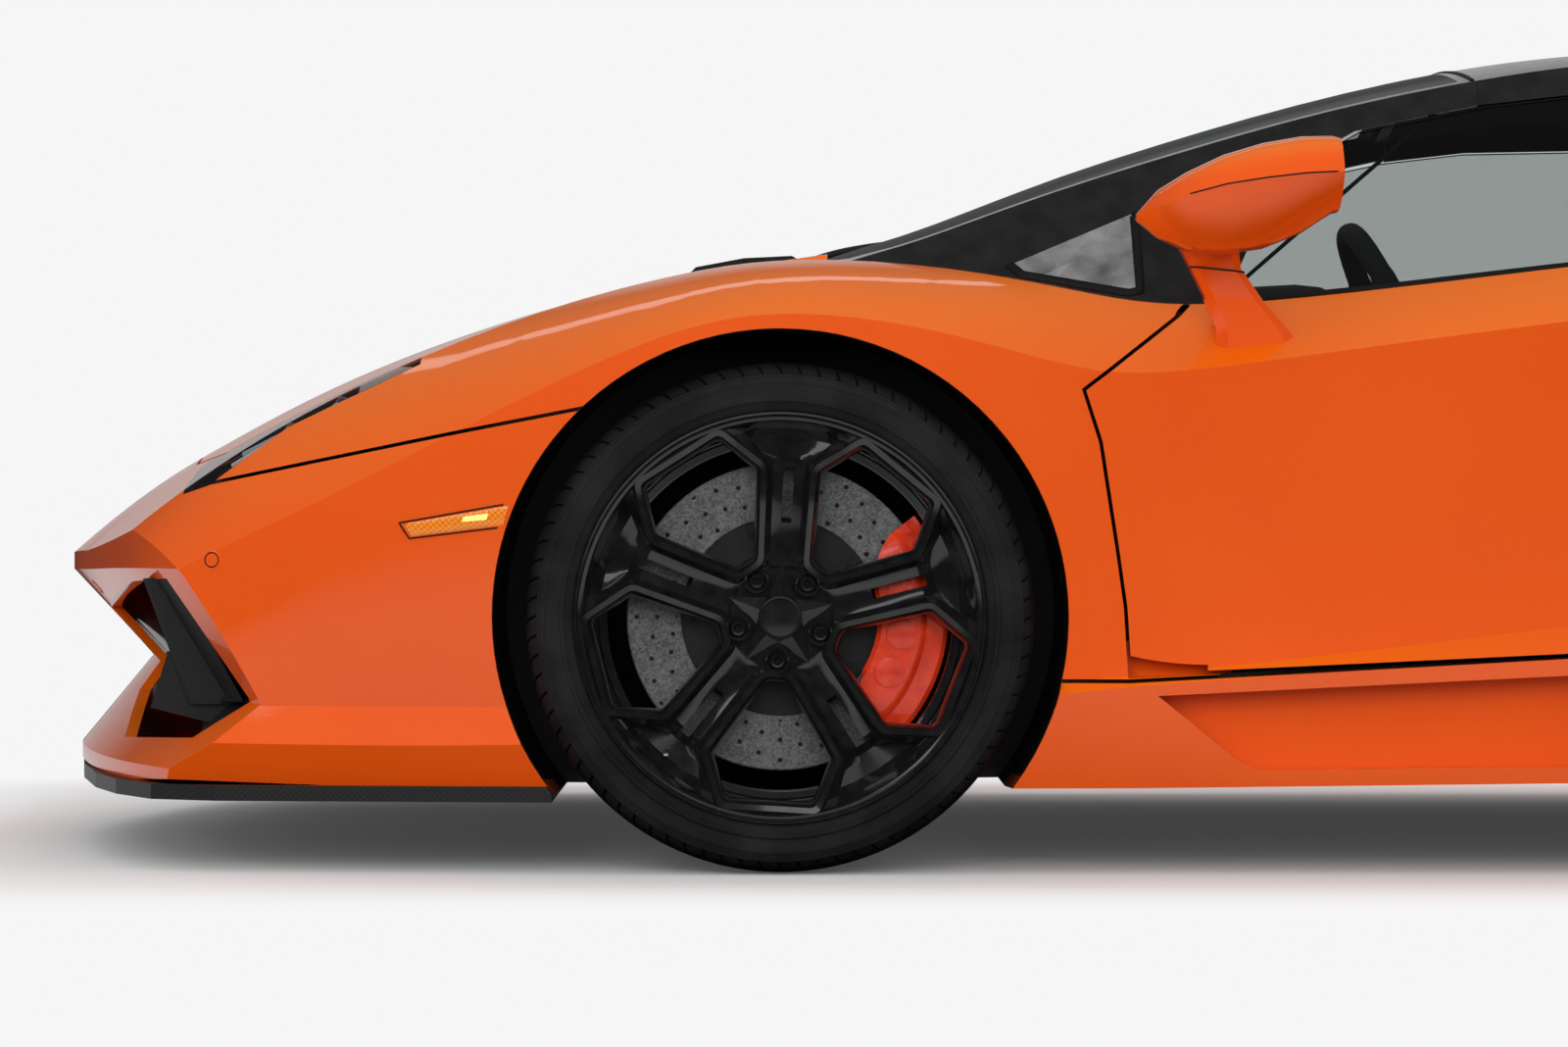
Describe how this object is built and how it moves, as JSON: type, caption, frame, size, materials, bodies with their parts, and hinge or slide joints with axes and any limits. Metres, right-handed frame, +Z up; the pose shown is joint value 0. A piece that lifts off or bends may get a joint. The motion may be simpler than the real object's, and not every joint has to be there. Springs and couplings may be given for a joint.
{
  "type": "two-seat mid-engined sports car",
  "caption": "Low wedge-shaped open-top sports car with upward-swinging doors, steering front wheels, opening front lid and engine cover, and rolling wheels on wide tyres.",
  "frame": {"origin": "middle of the box around the whole car, on the ground under the tyres", "axes": "+X to the nose, +Y to the car's left, +Z up"},
  "size_m": [4.7726, 2.2594, 1.1351],
  "materials": {
    "paint": "orange pearl gloss",
    "carbon": "satin",
    "gloss_black": "gloss",
    "window_glass": "clear gloss",
    "lamp_glass": "clear gloss",
    "tail_lens": "clear gloss",
    "tyre_rubber": "matt",
    "rim_black": "gloss black",
    "brake_disc": "ground",
    "caliper_red": "gloss",
    "alloy": "satin",
    "engine_alloy": "cast",
    "steel": "brushed",
    "leather_black": "matt"
  },
  "bodies": {
    "body": {"front_bumper": "paint", "front_splitter": "carbon", "headlamps": "lamp_glass", "front_fenders": "paint", "sills": "paint", "underbody": "carbon", "windscreen_frame": "gloss_black", "windscreen": "window_glass", "quarter_windows": "window_glass", "roof_panels": "gloss_black", "roll_hoop": "gloss_black", "rear_quarters": "paint", "rear_bumper": "paint", "tail_lamps": "tail_lens", "tub": "carbon", "front_structure": "carbon", "rear_structure": "carbon", "rear_calipers": "caliper_red", "suspension_rear": "alloy", "suspension_front": "alloy", "seats": "leather_black", "dashboard": "leather_black", "centre_console": "leather_black", "steering_column": "gloss_black", "engine_block": "engine_alloy", "exhaust": "steel", "intake_blades": "gloss_black", "cowl": "gloss_black", "diffuser": "carbon", "lid_hinge_pins": "steel", "door_hinges": "alloy", "jack_pads": "carbon"},
    "door_body_left": {"door_left": "paint", "door_glass_left": "window_glass", "mirror_left": "paint"},
    "door_body_right": {"door_right": "paint", "door_glass_right": "window_glass", "mirror_right": "paint"},
    "bonnet_body": {"bonnet": "paint"},
    "engine_cover_body": {"engine_cover": "paint"},
    "rear_wing_body": {"rear_wing": "paint"},
    "steering_wheel_body": {"steering_wheel": "leather_black"},
    "steer_left": {"knuckle_front_left": "alloy", "caliper_front_left": "caliper_red"},
    "steer_right": {"knuckle_front_right": "alloy", "caliper_front_right": "caliper_red"},
    "wheel_front_left": {"tyre_front_left": "tyre_rubber", "rim_front_left": "rim_black", "disc_front_left": "brake_disc"},
    "wheel_front_right": {"tyre_front_right": "tyre_rubber", "rim_front_right": "rim_black", "disc_front_right": "brake_disc"},
    "wheel_rear_left": {"tyre_rear_left": "tyre_rubber", "rim_rear_left": "rim_black", "disc_rear_left": "brake_disc"},
    "wheel_rear_right": {"tyre_rear_right": "tyre_rubber", "rim_rear_right": "rim_black", "disc_rear_right": "brake_disc"}
  },
  "joints": [
    {"name": "door_left_hinge", "type": "hinge", "parent": "body", "child": "door_body_left", "pos_m": [0.803, 0.8, 0.708], "axis": [-0.0794, 0.9919, -0.0992], "range_deg": [0, 50]},
    {"name": "door_right_hinge", "type": "hinge", "parent": "body", "child": "door_body_right", "pos_m": [0.803, -0.8, 0.708], "axis": [0.0794, 0.9919, 0.0992], "range_deg": [0, 50]},
    {"name": "bonnet_hinge", "type": "hinge", "parent": "body", "child": "bonnet_body", "pos_m": [1.474, 0, 0.806], "axis": [0, -1, 0], "range_deg": [0, 55]},
    {"name": "engine_cover_hinge", "type": "hinge", "parent": "body", "child": "engine_cover_body", "pos_m": [-0.5, 0, 1.088], "axis": [0, 1, 0], "range_deg": [0, 50]},
    {"name": "rear_wing_hinge", "type": "hinge", "parent": "body", "child": "rear_wing_body", "pos_m": [-1.972, 0, 0.862], "axis": [0, 1, 0], "range_deg": [0, 11]},
    {"name": "steering_left", "type": "hinge", "parent": "body", "child": "steer_left", "pos_m": [1.355, 0.835, 0.3305], "axis": [0, 0, 1], "range_deg": [-28, 28]},
    {"name": "steering_right", "type": "hinge", "parent": "body", "child": "steer_right", "pos_m": [1.355, -0.835, 0.3305], "axis": [0, 0, 1], "range_deg": [-28, 28]},
    {"name": "steering_wheel_turn", "type": "hinge", "parent": "body", "child": "steering_wheel_body", "pos_m": [0.4856, 0.365, 0.702], "axis": [-0.9063, 0, 0.4226], "range_deg": [-430, 430]},
    {"name": "front_left_spin", "type": "hinge", "parent": "steer_left", "child": "wheel_front_left", "pos_m": [1.355, 0.86, 0.3305], "axis": [0, 1, 0], "continuous": true},
    {"name": "front_right_spin", "type": "hinge", "parent": "steer_right", "child": "wheel_front_right", "pos_m": [1.355, -0.86, 0.3305], "axis": [0, 1, 0], "continuous": true},
    {"name": "rear_left_spin", "type": "hinge", "parent": "body", "child": "wheel_rear_left", "pos_m": [-1.345, 0.825, 0.3545], "axis": [0, 1, 0], "continuous": true},
    {"name": "rear_right_spin", "type": "hinge", "parent": "body", "child": "wheel_rear_right", "pos_m": [-1.345, -0.825, 0.3545], "axis": [0, 1, 0], "continuous": true}
  ],
  "couplings": [
    {"joint": "steering_right", "follows": "steering_left", "ratio": 1},
    {"joint": "steering_wheel_turn", "follows": "steering_left", "ratio": 15}
  ]
}
